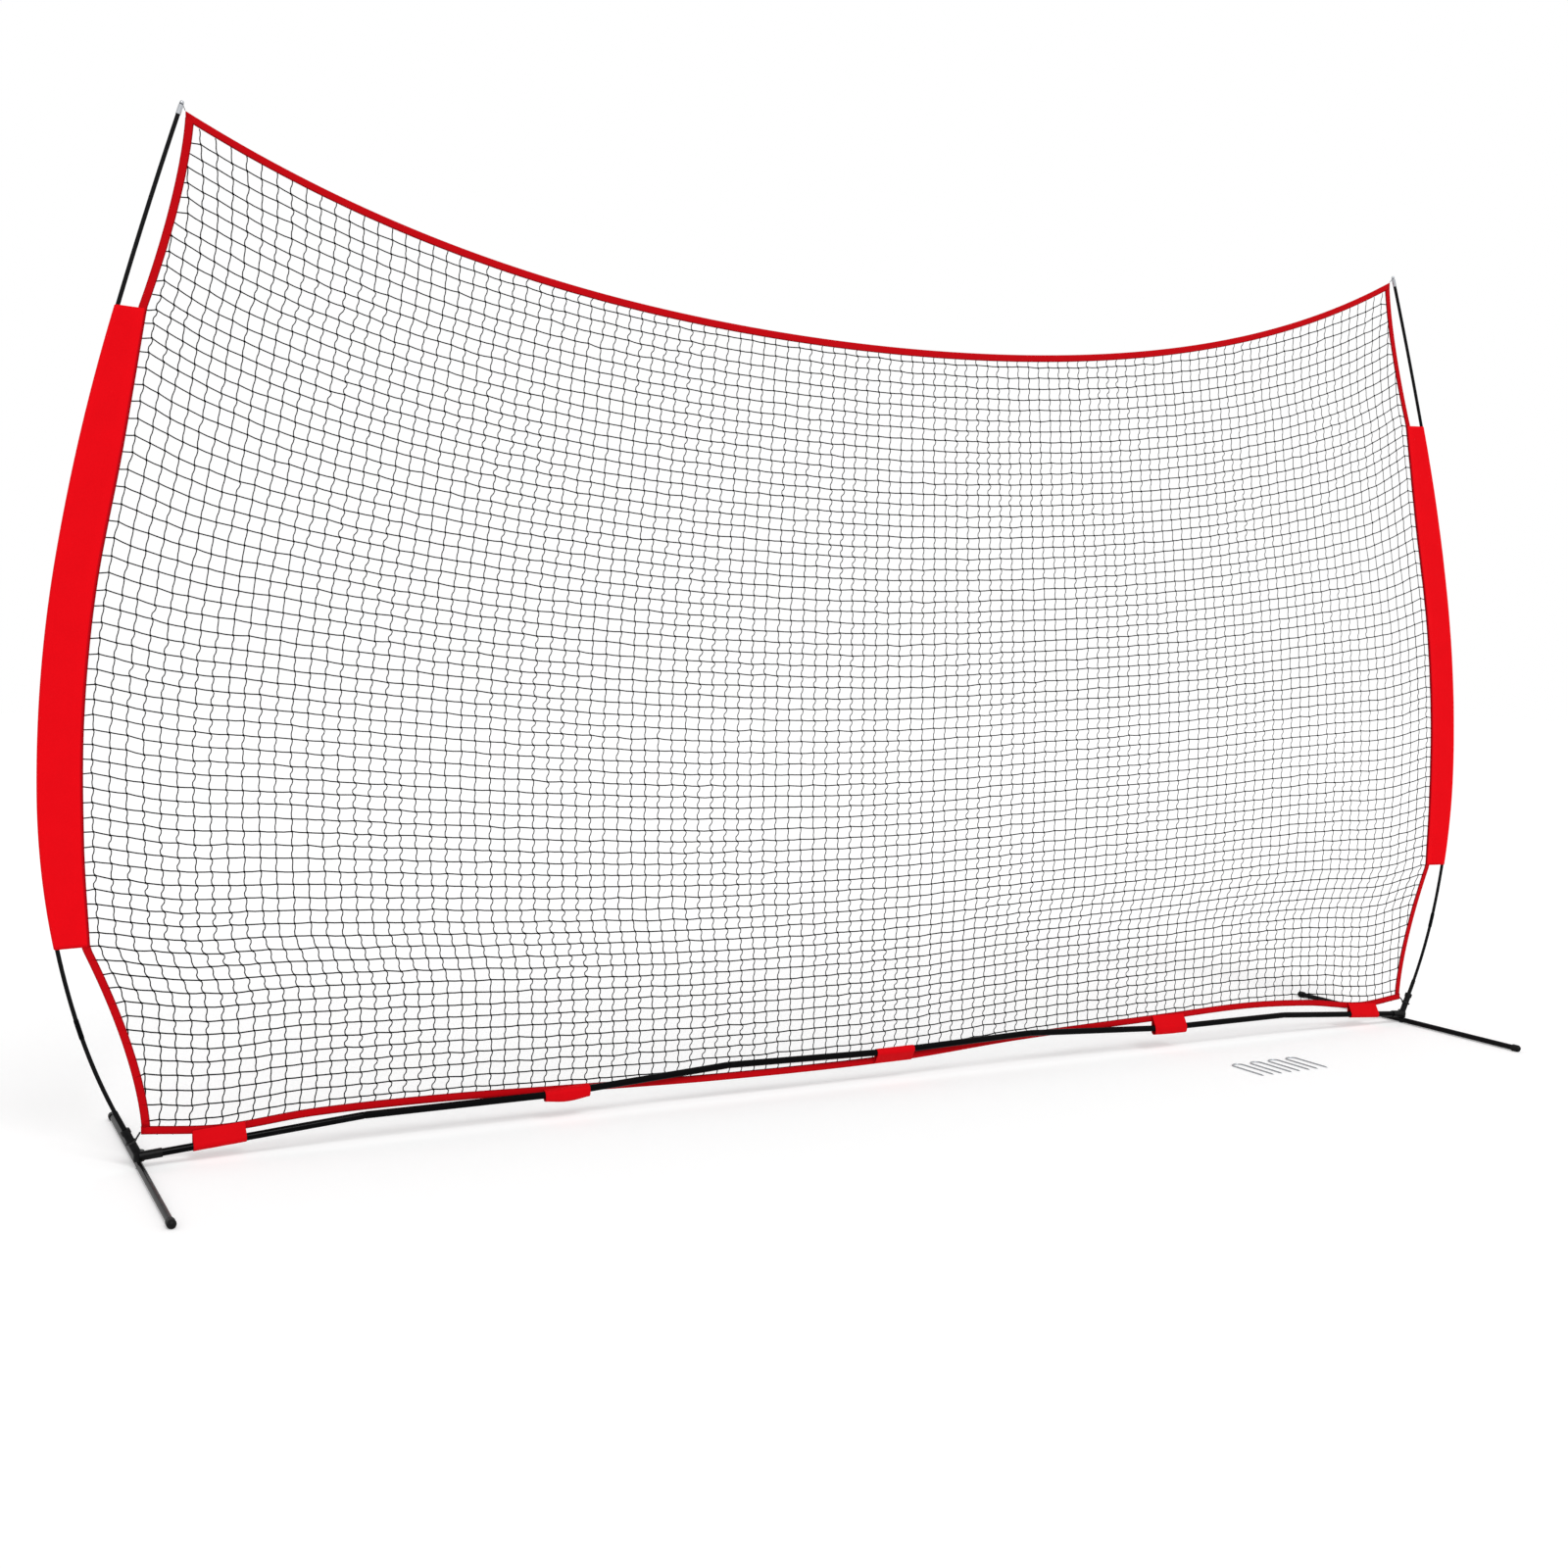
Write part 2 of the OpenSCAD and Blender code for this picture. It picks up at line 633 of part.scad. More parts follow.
// ---- elastic corner loops ----
module cord_between(a, b, r) {
    d = b - a;
    translate(a) rotate([0, acos(d[2] / norm(d)), atan2(d[1], d[0])])
        cylinder(h = norm(d), r = r, $fn = 24);
}

module cord_ring(ring_r, r) {
    rotate_extrude($fn = fine) translate([ring_r, 0]) circle(r, $fn = 24);
}

top_elastic_r = 1.1;        // thin shock cord on the pole cap
bottom_elastic_r = 2.6;     // thick shock cord on the hub's pole socket
bottom_loop_at = 46;        // where its loop sits, along the pole from the hub pivot
module top_elastic(side) {
    r = top_elastic_r;
    ring_r = tip_neck + r + slip;
    at = cap_base + (tip_skirt + tip_groove - r - slip) * top_dir;
    corner = [top_corner[0] + 1, top_corner[1] + 1.5];
    color("#8e9095") on_side(side) in_bow_plane() {
        translate([at[0], at[1], 0]) rotate([0, 0, -top_angle]) rotate([-90, 0, 0])
            cord_ring(ring_r, r);
        cord_between([at[0] - ring_r * cos(top_angle), at[1] + ring_r * sin(top_angle), 0],
                     [corner[0], corner[1], -net_y], r);
    }
}

module bottom_elastic(side) {
    r = bottom_elastic_r;
    ring_r = pole_socket_d / 2 + r + slip;
    at = [hub_x, hub_h] + bottom_loop_at * [sin(root_angle), cos(root_angle)];
    corner = [bottom_corner_x + 2.2, corner_h - 3];
    inner = at + ring_r * [-cos(root_angle), sin(root_angle)];
    color(rod_black) on_side(side) in_bow_plane() {
        translate([at[0], at[1], 0]) rotate([0, 0, -root_angle]) rotate([-90, 0, 0])
            cord_ring(ring_r, r);
        cord_between([inner[0], inner[1], 0], [corner[0], corner[1], -net_y], r);
    }
}

// ---- ground stakes ----
stakes_x = 1300;
stakes_y = -500;
module ground_stake() {
    r = stake_d / 2;
    bow_r = stake_w / 2;
    point = 12;
    leg = stake_len - bow_r - r - point;
    rotate_extrude(angle = 180, $fn = fine) translate([bow_r, 0]) circle(r, $fn = 24);
    for (x = [-bow_r, bow_r])
        translate([x, 0, 0]) rotate([90, 0, 0]) {
            cylinder(h = leg, r = r, $fn = 24);
            translate([0, 0, leg]) cylinder(h = point, r1 = r, r2 = 0.6, $fn = 24);
        }
}

module ground_stakes() {
    color(bright)
        for (i = [0 : 3])
            translate([stakes_x + i * stake_step, stakes_y + stake_len, stake_d / 2])
                ground_stake();
}

base_tube(-4);  // base_tube_1
base_tube(-3);  // base_tube_2
base_tube(-2);  // base_tube_3
base_tube(-1);  // base_tube_4
base_tube(0);  // base_tube_5
base_tube(1);  // base_tube_6
base_tube(2);  // base_tube_7
base_tube(3);  // base_tube_8
hub(-1);  // hub_left
hub(1);  // hub_right
socket_collar(-1);  // socket_collar_left
socket_collar(1);  // socket_collar_right
swivel_bolt(-1);  // swivel_bolt_left
swivel_bolt(1);  // swivel_bolt_right
foot_tube(-1);  // foot_tube_left
foot_tube(1);  // foot_tube_right
foot_caps(-1);  // foot_caps_left
foot_caps(1);  // foot_caps_right
pole_root(-1);  // pole_root_left
pole_root(1);  // pole_root_right
pole_rod(0, -1);  // pole_rod_1_left
pole_rod(1, -1);  // pole_rod_2_left
pole_rod(2, -1);  // pole_rod_3_left
pole_rod(3, -1);  // pole_rod_4_left
pole_rod(4, -1);  // pole_rod_5_left
pole_rod(0, 1);  // pole_rod_1_right
pole_rod(1, 1);  // pole_rod_2_right
pole_rod(2, 1);  // pole_rod_3_right
pole_rod(3, 1);  // pole_rod_4_right
pole_rod(4, 1);  // pole_rod_5_right
pole_ferrules(-1);  // pole_ferrules_left
pole_ferrules(1);  // pole_ferrules_right
pole_tip(-1);  // pole_tip_left
pole_tip(1);  // pole_tip_right
net_panel();
top_binding();
bottom_binding();
side_binding(-1);  // side_binding_left
side_binding(1);  // side_binding_right
sleeve(-1);  // sleeve_left
sleeve(1);  // sleeve_right
base_strap(0);  // base_strap_1
base_strap(1);  // base_strap_2
base_strap(2);  // base_strap_3
base_strap(3);  // base_strap_4
base_strap(4);  // base_strap_5
top_elastic(-1);  // top_elastic_left
top_elastic(1);  // top_elastic_right
bottom_elastic(-1);  // bottom_elastic_left
bottom_elastic(1);  // bottom_elastic_right
ground_stakes();
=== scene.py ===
import math
import random

import bpy
from mathutils import Matrix, Vector


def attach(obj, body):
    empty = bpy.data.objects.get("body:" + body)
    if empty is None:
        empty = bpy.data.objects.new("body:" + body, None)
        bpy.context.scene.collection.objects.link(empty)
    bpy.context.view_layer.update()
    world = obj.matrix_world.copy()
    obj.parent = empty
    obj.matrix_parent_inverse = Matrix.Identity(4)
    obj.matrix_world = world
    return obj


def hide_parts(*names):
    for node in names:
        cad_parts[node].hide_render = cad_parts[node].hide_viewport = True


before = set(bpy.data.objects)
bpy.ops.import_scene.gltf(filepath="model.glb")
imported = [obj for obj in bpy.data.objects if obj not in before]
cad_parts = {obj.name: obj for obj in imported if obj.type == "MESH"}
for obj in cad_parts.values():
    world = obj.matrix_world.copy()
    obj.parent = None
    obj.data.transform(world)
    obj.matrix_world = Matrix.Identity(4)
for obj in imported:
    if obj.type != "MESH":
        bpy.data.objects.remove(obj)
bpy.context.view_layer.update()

random.seed(7)
print("stage: frame loaded")

cameraSetup = {
    "place": (-3.137, -5.246, 1.507),
    "yaw": 27.497,      # degrees from +Y towards +X
    "pitch": -4.507,
    "roll": 0.816,
    "lens": 41.334,
    "sensor": 36,
    "farEnd": 200,      # metres to the end of its view
}


def makeCamera():
    data = bpy.data.cameras.new("netCamera")
    data.lens = cameraSetup["lens"]
    data.sensor_width = cameraSetup["sensor"]
    data.clip_end = cameraSetup["farEnd"]
    camera = bpy.data.objects.new("netCamera", data)
    bpy.context.scene.collection.objects.link(camera)
    yaw, pitch, roll = (math.radians(cameraSetup[k]) for k in ("yaw", "pitch", "roll"))
    turn = Matrix.Rotation(-yaw, 4, "Z") @ Matrix.Rotation(math.pi / 2 + pitch, 4, "X")
    turn = turn @ Matrix.Rotation(roll, 4, "Z")
    camera.matrix_world = Matrix.Translation(cameraSetup["place"]) @ turn
    bpy.context.scene.camera = camera


makeCamera()


def linearColour(hexText):
    # sRGB hex to linear, the only place where a colour is turned
    parts = [int(hexText[i:i + 2], 16) / 255 for i in (1, 3, 5)]
    return tuple(c / 12.92 if c <= 0.04045 else ((c + 0.055) / 1.055) ** 2.4 for c in parts) + (1,)


def addNode(tree, kind, inputs=None, **settings):
    # an input is given by name or number: another node's output, a hex colour or a plain value
    node = tree.nodes.new("ShaderNode" + kind)
    for name, value in settings.items():
        setattr(node, name, value)
    for name, value in (inputs or {}).items():
        if isinstance(value, bpy.types.NodeSocket):
            tree.links.new(value, node.inputs[name])
        elif isinstance(value, str):
            node.inputs[name].default_value = linearColour(value)
        else:
            node.inputs[name].default_value = value
    return node


def newMaterial(name):
    material = bpy.data.materials.new(name)
    material.use_nodes = True
    material.node_tree.nodes.clear()
    return material, material.node_tree


def paintedSteel(name, colour, worn, roughness, gloss):
    # Powder-coated tube: a thin gloss over fine orange peel, with paler, rougher scuffs
    material, tree = newMaterial(name)
    place = addNode(tree, "TexCoord").outputs["Object"]
    peelSize = 2.5      # mm from one swell of the paint to the next
    peel = addNode(tree, "TexNoise", {"Vector": place, "Scale": 1000 / peelSize, "Detail": 2.0})
    scuff = addNode(tree, "TexNoise", {"Vector": place, "Scale": 22.0, "Detail": 8.0,
                                       "Roughness": 0.7})
    scuffed = addNode(tree, "MapRange", {"Value": scuff.outputs["Fac"], "From Min": 0.56,
                                         "From Max": 0.78})
    tone = addNode(tree, "Mix", {0: scuffed.outputs[0], 6: colour, 7: worn}, data_type="RGBA")
    rough = addNode(tree, "MapRange", {"Value": scuffed.outputs[0], "To Min": roughness,
                                       "To Max": roughness + 0.16})
    bump = addNode(tree, "Bump", {"Height": peel.outputs["Fac"], "Distance": 0.00006,
                                  "Strength": 0.5})
    shader = addNode(tree, "BsdfPrincipled", {
        "Base Color": tone.outputs[2], "Roughness": rough.outputs[0], "Normal": bump.outputs[0],
        "IOR": 1.5, "Specular IOR Level": gloss})
    addNode(tree, "OutputMaterial", {"Surface": shader.outputs[0]})
    return material


def mouldedPlastic(name, colour, worn, grain, roughness, gloss):
    # Injection-moulded nylon or dipped PVC: spark-eroded grain makes it satin,
    # and soft patches of it are paler
    material, tree = newMaterial(name)
    place = addNode(tree, "TexCoord").outputs["Object"]
    fine = addNode(tree, "TexNoise", {"Vector": place, "Scale": 1000 / grain, "Detail": 3.0})
    cloud = addNode(tree, "TexNoise", {"Vector": place, "Scale": 60.0, "Detail": 4.0})
    rubbed = addNode(tree, "MapRange", {"Value": cloud.outputs["Fac"], "From Min": 0.5,
                                        "From Max": 0.75})
    tone = addNode(tree, "Mix", {0: rubbed.outputs[0], 6: colour, 7: worn}, data_type="RGBA")
    rough = addNode(tree, "MapRange", {"Value": fine.outputs["Fac"], "To Min": roughness - 0.06,
                                       "To Max": roughness + 0.1})
    bump = addNode(tree, "Bump", {"Height": fine.outputs["Fac"], "Distance": 0.0001,
                                  "Strength": 0.6})
    shader = addNode(tree, "BsdfPrincipled", {
        "Base Color": tone.outputs[2], "Roughness": rough.outputs[0], "Normal": bump.outputs[0],
        "IOR": 1.52, "Specular IOR Level": gloss})
    addNode(tree, "OutputMaterial", {"Surface": shader.outputs[0]})
    return material


def fibreglassRod():
    # Pultruded fibreglass, pigmented black: fibres that run upwards, close to the rods' own
    # line, draw the highlight out into fine lines
    material, tree = newMaterial("pultrudedFibreglass")
    place = addNode(tree, "TexCoord").outputs["Object"]
    drawn = addNode(tree, "Mapping", {"Vector": place, "Scale": (1400, 1400, 18)})
    fibres = addNode(tree, "TexNoise", {"Vector": drawn.outputs[0], "Scale": 1.0, "Detail": 3.0})
    tone = addNode(tree, "Mix", {0: fibres.outputs["Fac"], 6: "#020203", 7: "#0b0b0d"},
                   data_type="RGBA")
    rough = addNode(tree, "MapRange", {"Value": fibres.outputs["Fac"], "To Min": 0.26,
                                       "To Max": 0.46})
    bump = addNode(tree, "Bump", {"Height": fibres.outputs["Fac"], "Distance": 0.00005,
                                  "Strength": 0.5})
    shader = addNode(tree, "BsdfPrincipled", {
        "Base Color": tone.outputs[2], "Roughness": rough.outputs[0], "Normal": bump.outputs[0],
        "IOR": 1.52, "Specular IOR Level": 0.1})
    addNode(tree, "OutputMaterial", {"Surface": shader.outputs[0]})
    return material


def platedSteel(name, colour, dull, roughness):
    # Zinc or nickel plate on steel: bright metal whose spangle shows in the gloss
    material, tree = newMaterial(name)
    place = addNode(tree, "TexCoord").outputs["Object"]
    cloud = addNode(tree, "TexNoise", {"Vector": place, "Scale": 240.0, "Detail": 5.0})
    tone = addNode(tree, "Mix", {0: cloud.outputs["Fac"], 6: colour, 7: dull}, data_type="RGBA")
    rough = addNode(tree, "MapRange", {"Value": cloud.outputs["Fac"], "To Min": roughness,
                                       "To Max": roughness + 0.18})
    bump = addNode(tree, "Bump", {"Height": cloud.outputs["Fac"], "Distance": 0.00004,
                                  "Strength": 0.4})
    shader = addNode(tree, "BsdfPrincipled", {
        "Base Color": tone.outputs[2], "Roughness": rough.outputs[0], "Normal": bump.outputs[0],
        "Metallic": 1.0})
    addNode(tree, "OutputMaterial", {"Surface": shader.outputs[0]})
    return material


def elasticCord(name, colour, dark):
    # Braided elastic cord: small crossing bundles of yarn make it matt and faintly knobbly
    material, tree = newMaterial(name)
    place = addNode(tree, "TexCoord").outputs["Object"]
    bundle = 1.1        # mm from one bundle of the braid to the next
    braid = addNode(tree, "TexVoronoi", {"Vector": place, "Scale": 1000 / bundle})
    tone = addNode(tree, "Mix", {0: braid.outputs["Distance"], 6: colour, 7: dark},
                   data_type="RGBA")
    bump = addNode(tree, "Bump", {"Height": braid.outputs["Distance"], "Distance": 0.0002,
                                  "Strength": 0.7})
    shader = addNode(tree, "BsdfPrincipled", {
        "Base Color": tone.outputs[2], "Normal": bump.outputs[0], "Roughness": 0.85,
        "Sheen Weight": 0.1})
    addNode(tree, "OutputMaterial", {"Surface": shader.outputs[0]})
    return material


frameFinishes = {
    "base_tube": paintedSteel("powderCoatedTube", "#040405", "#0e0f11", 0.13, 0.05),
    "foot_tube": paintedSteel("powderCoatedFoot", "#0c0b0d", "#19171b", 0.2, 0.06),
    "pole_root": paintedSteel("paintedSteelRoot", "#040405", "#111214", 0.3, 0.12),
    "hub": mouldedPlastic("glassFilledNylon", "#060607", "#131416", 0.6, 0.42, 0.12),
    "socket_collar": mouldedPlastic("nylonCollar", "#050506", "#121315", 0.6, 0.38, 0.14),
    "foot_caps": mouldedPlastic("dippedPvc", "#050505", "#101112", 0.9, 0.5, 0.15),
    "pole_rod": fibreglassRod(),
    "pole_ferrules": platedSteel("blackenedFerrule", "#101113", "#08090a", 0.4),
    "pole_tip": platedSteel("nickelPlatedCap", "#c9ccd0", "#a3a6ab", 0.18),
    "swivel_bolt": platedSteel("zincPlatedBolt", "#b9bcc0", "#96999e", 0.3),
    "ground_stakes": platedSteel("galvanisedWire", "#c2c5c9", "#9fa2a7", 0.26),
    "top_elastic": elasticCord("greyElastic", "#9a9ca1", "#6d6f74"),
    "bottom_elastic": elasticCord("blackElastic", "#060607", "#020202"),
}


def dressFrame():
    for name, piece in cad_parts.items():
        for start, material in frameFinishes.items():
            if name.startswith(start):
                for slot in piece.material_slots:
                    slot.material = material


dressFrame()
print("stage: frame materials")

# shape of the rig, in the plane of the bow
rig = {
    "hubX": 2.440, "hubHeight": 0.038, "leanBack": math.radians(1),
    "rootAngle": math.radians(25.5), "rootLength": 0.121,
    "rodLengths": (0.282, 0.656, 0.656, 0.656, 0.611),
    "rodBends": (9.6, 16.3, 9.6, 6.1, 2.1),
    "ferruleRadius": 0.00703,
    "netBehind": 0.007,         # netting's mid-plane behind the poles
    "baseForward": 0.008, "baseRadius": 0.011,
    # joints of the base tube: distance from the middle, height
    "joints": ((0, 0.109), (0.6, 0.121), (1.2, 0.087), (1.8, 0.086), (2.44, 0.038)),
}
outline = {
    "bindingWidth": 0.020, "bindingThickness": 0.0042,
    "cornerFromCap": (-0.0215, 0.0135),         # top corner, from the foot of the pole's cap
    "bottomCornerIn": 0.008, "sideFootIn": 0.010,       # in from the hub's axis
    "dipShape": (0.725, 0.275),     # shares of the square and the fourth power
    "topDip": 0.446, "sleeveDrop": 0.548, "sleeveFoot": 0.637, "cornerHeight": 0.106,
    "lowerDraw": 0.151, "upperDraw": 0.133, "lowerPower": 1.55, "upperPower": 1.445,
    # side of the net beyond the straight line between the sleeve's ends
    "bulge": ((0, 0), (0.16, 0.039), (0.36, 0.068), (0.56, 0.066), (0.78, 0.0295), (1, 0)),
    # bottom edge: share of the half width, height above its corner
    "hem": ((-1, 0), (-0.91, -0.018), (-0.80, 0), (-0.64, 0.001), (-0.478, -0.011),
            (-0.25, -0.027), (0.014, -0.027), (0.23, 0), (0.507, 0.018), (0.67, 0.027),
            (0.80, 0.012), (0.91, -0.018), (1, 0)),
}


def poleChain():
    # a straight root, then one even bend for each rod: (foot, centre, radius) of every bend
    heading = rig["rootAngle"]
    foot = Vector((rig["hubX"] + rig["rootLength"] * math.sin(heading),
                   rig["hubHeight"] + rig["rootLength"] * math.cos(heading)))
    bends = []
    for length, bend in zip(rig["rodLengths"], rig["rodBends"]):
        radius = length / math.radians(bend)
        centre = foot - radius * Vector((math.cos(heading), -math.sin(heading)))
        bends.append((foot, centre, radius))
        heading -= math.radians(bend)
        foot = centre + radius * Vector((math.cos(heading), -math.sin(heading)))
    return bends, foot


poleBends, poleCapBase = poleChain()
topCornerX = poleCapBase.x + outline["cornerFromCap"][0]
topCornerZ = poleCapBase.y + outline["cornerFromCap"][1]
bottomCornerX = rig["hubX"] - outline["bottomCornerIn"]
sideFootX = rig["hubX"] - outline["sideFootIn"]
sleeveTop = topCornerZ - outline["sleeveDrop"]
sideMidX = sideFootX + outline["lowerDraw"]
sideTopX = topCornerX + outline["upperDraw"]


def poleX(z):
    if z < poleBends[0][0].y:
        return rig["hubX"] + (z - rig["hubHeight"]) * math.tan(rig["rootAngle"])
    centre, radius = [(c, r) for foot, c, r in poleBends if foot.y <= z][-1]
    return centre.x + math.sqrt(radius ** 2 - (z - centre.y) ** 2)


def hermite(s, a, b, slopeA, slopeB):
    return ((2 * s ** 3 - 3 * s ** 2 + 1) * a + (s ** 3 - 2 * s ** 2 + s) * slopeA
            + (3 * s ** 2 - 2 * s ** 3) * b + (s ** 3 - s ** 2) * slopeB)


def curveThrough(points, at):
    # smooth curve through a few points, given as (place, value)
    n = len(points) - 1
    k = max(i for i in range(n) if i == 0 or points[i][0] <= at)

    def slope(i):
        a, b = points[max(i - 1, 0)], points[min(i + 1, n)]
        return (b[1] - a[1]) / (b[0] - a[0])
    run = points[k + 1][0] - points[k][0]
    return hermite((at - points[k][0]) / run, points[k][1], points[k + 1][1],
                   slope(k) * run, slope(k + 1) * run)


def sideX(z):
    # outer edge of the side binding
    low, high = outline["sleeveFoot"], sleeveTop
    if z <= low:
        share = max(z - outline["cornerHeight"], 0) / (low - outline["cornerHeight"])
        return sideFootX + outline["lowerDraw"] * share ** outline["lowerPower"]
    if z <= high:
        share = (z - low) / (high - low)
        return sideMidX + share * (sideTopX - sideMidX) + curveThrough(outline["bulge"], share)
    share = max(topCornerZ - z, 0) / outline["sleeveDrop"]
    return topCornerX + outline["upperDraw"] * share ** outline["upperPower"]


def topHeight(x):
    # upper edge of the top binding
    u = x / topCornerX
    square, fourth = outline["dipShape"]
    return topCornerZ - outline["topDip"] * (1 - square * u ** 2 - fourth * u ** 4)


def hemHeight(x):
    # middle of the bottom binding
    return outline["cornerHeight"] + curveThrough(outline["hem"], x / bottomCornerX)


def leaned(x, behind, z):
    # from the bow's plane to the room: the plane leans back about the hubs
    up, angle = z - rig["hubHeight"], rig["leanBack"]
    return Vector((x, behind * math.cos(angle) + up * math.sin(angle),
                   rig["hubHeight"] - behind * math.sin(angle) + up * math.cos(angle)))


def tubeHeight(x):
    joints = rig["joints"]
    a, b = [(p, q) for p, q in zip(joints, joints[1:]) if p[0] <= abs(x) + 1e-9][-1]
    return a[1] + (abs(x) - a[0]) * (b[1] - a[1]) / (b[0] - a[0])


netting = {
    "columns": 110, "rows": 67,
    "bar": 0.04445,         # mesh bar, knot to knot along the twine
    "twine": 0.0031,
    "rowTwine": 0.0036,     # rows are pulled straight and look heavier than the columns
    "heavyLow": 0.22,       # the lowest twine is drawn thicker by this share,
    "heavyBelow": 1.2,      # which fades out at this height
    "knot": 0.0076,
    "columnEdge": 0.047,    # outermost column inside the binding's outer edge
    "crowding": 0.018,      # columns stand closer towards the sides
    "rowsAtSide": ((0, 0.100), (6, 0.358), (20, 0.917), (35, 1.535), (50, 2.236),
                   (56, 2.478), (67, 2.943)),
    "sideReach": 0.35,      # how far the side binding's pull on the rows carries inwards
    # columns taken in at the corners: height where it starts, reach, run, power
    "takeInTop": (2.45, 0.10, 0.5, 1.2), "takeInFoot": (0.46, 0.085, 0.33, 0.8),
    # rows stand closer at the foot: by this in the middle, and this more at the sides
    "rowCrowd": (0.03, 0.04),
    # shares of even and of squared steps that "rowsAtSide" is measured against
    "sideCrowd": (0.93, 0.07),
    "footBelowHem": 0.006, "topBelowEdge": 0.004,
    "drift": 0.0012, "endDrift": 0.003, "rowSag": 0.0012,
    # where twine ends inside the side binding
    "rowEndIn": 0.008, "columnEndIn": 0.006, "columnEndLook": 0.02, "columnEndRun": 0.024,
    "columnsBehind": 0.0004,
    # a bar's S: share of its height, share of the wave to the right
    "barShape": ((0.18, -0.8), (0.4, -0.75), (0.62, 0.6), (0.84, 1.0)),
    "leastSlack": 0.02, "liveliness": (0.75, 0.35), "waveSpread": (0.55, 1.15),
    "knotMargin": 0.018, "knotShape": (1.15, 0.8, 0.9), "knotTurn": (0.2, 1.3),
}


def columnEdge(z):
    # the netting is cut square, so near each corner the binding takes in two columns more
    edge = sideX(z) - netting["columnEdge"]
    start, reach, run, power = netting["takeInTop"]
    if z > start:
        edge += reach * ((z - start) / run) ** power
    start, reach, run, power = netting["takeInFoot"]
    if z < start:
        edge += reach * ((start - z) / run) ** power
    return edge


def netPoint(i, j):
    u, v = 2 * i / netting["columns"] - 1, j / netting["rows"]
    spread = u * (1 + netting["crowding"]) - netting["crowding"] * u ** 3
    crowd = netting["rowCrowd"][0] + netting["rowCrowd"][1] * u * u
    share = v * (1 - crowd) + crowd * v * v
    foot = hemHeight(u * bottomCornerX) - netting["footBelowHem"]
    top = topHeight(u * topCornerX) - netting["topBelowEdge"]
    z = foot + (top - foot) * share
    atSide = curveThrough(netting["rowsAtSide"], j)
    level = outline["cornerHeight"] - netting["footBelowHem"]
    even, closer = netting["sideCrowd"]
    plain = level + (topCornerZ - netting["topBelowEdge"] - level) * (v * even + closer * v * v)
    inward = (1 - abs(u)) * rig["hubX"]
    z += (atSide - plain) * math.exp(-inward / netting["sideReach"])
    return spread * columnEdge(z), z


def barWave(x, z, pitch):
    # slack in a bar buckles it into an S: out to the right below its upper knot, then left
    slack = max(netting["bar"] / pitch - 1, netting["leastSlack"])
    usual, more = netting["liveliness"]      # drifts slowly across the net
    lively = usual + more * math.sin(9 * x + 5 * z) * math.sin(4 * z - 2.3 * x)
    return pitch * math.sqrt(slack) / math.pi * lively * random.uniform(*netting["waveSpread"])


def twinePiece(name, lines, thickness):
    curve = bpy.data.curves.new(name, "CURVE")
    curve.dimensions = "3D"
    curve.bevel_depth = thickness / 2
    curve.bevel_resolution = 0
    curve.use_fill_caps = True
    for line in lines:
        spline = curve.splines.new("POLY")
        spline.points.add(len(line) - 1)
        for point, place in zip(spline.points, line):
            point.co = (*place, 1)
            lowness = max(0, 1 - place.z / netting["heavyBelow"])
            point.radius = 1 + netting["heavyLow"] * lowness
    piece = bpy.data.objects.new(name, curve)
    bpy.context.scene.collection.objects.link(piece)
    deselectAll()
    piece.select_set(True)
    bpy.context.view_layer.objects.active = piece
    bpy.ops.object.convert(target="MESH")
    bpy.ops.object.shade_smooth()
    return bpy.context.view_layer.objects.active


def deselectAll():
    for other in bpy.context.selected_objects:
        other.select_set(False)
    bpy.context.view_layer.objects.active = None


def inNet(x, z, margin=0.007):
    return abs(x) < sideX(z) - margin


def netLines():
    columns, rows = netting["columns"], netting["rows"]
    knots, rowLines, columnLines = {}, [], []
    for j in range(rows + 1):
        for i in range(columns + 1):
            x, z = netPoint(i, j)
            drift = netting["drift"] if 0 < j < rows else 0
            knots[i, j] = (x + random.gauss(0, drift), z + random.gauss(0, drift))
    for j in range(1, rows):
        inside = [knots[i, j] for i in range(columns + 1) if inNet(*knots[i, j])]
        ends = []
        for x, z in (inside[0], inside[-1]):
            reach = sideX(z) - netting["rowEndIn"]
            ends.append((math.copysign(reach, x), z + random.gauss(0, netting["endDrift"])))
        line = [ends[0]] + inside + [ends[1]]
        dense = [line[0]]
        for a, b in zip(line, line[1:]):
            sag = random.uniform(0, netting["rowSag"])
            mid = ((a[0] + b[0]) / 2, (a[1] + b[1]) / 2 - sag)
            dense += [mid, b]
        rowLines.append([leaned(x, rig["netBehind"], z) for x, z in dense])
    look, drop = netting["columnEndLook"], netting["columnEndRun"]
    for i in range(columns + 1):
        run = [j for j in range(rows + 1) if inNet(*knots[i, j])]
        if len(run) < 2:
            continue
        first, last = run[0], run[-1]
        line = []
        if first > 0:       # the bar below goes into the side binding
            x, z = knots[i, first]
            reach = sideX(z - look) - netting["columnEndIn"]
            line.append((math.copysign(reach, x), z - drop))
        for j in range(first, last + 1):
            x, z = knots[i, j]
            line.append((x, z))
            if j < last:
                x2, z2 = knots[i, j + 1]
                wave = barWave(x, z, z2 - z)
                for share, side in netting["barShape"]:
                    line.append((x + (x2 - x) * share + side * wave, z + (z2 - z) * share))
        if last < rows:
            x, z = knots[i, last]
            reach = sideX(z + look) - netting["columnEndIn"]
            line.append((math.copysign(reach, x), z + drop))
        behind = rig["netBehind"] + netting["columnsBehind"]
        columnLines.append([leaned(x, behind, z) for x, z in line])
    tied = [knots[i, j] for i in range(columns + 1) for j in range(1, rows)
            if inNet(*knots[i, j], netting["knotMargin"])]
    return rowLines, columnLines, tied


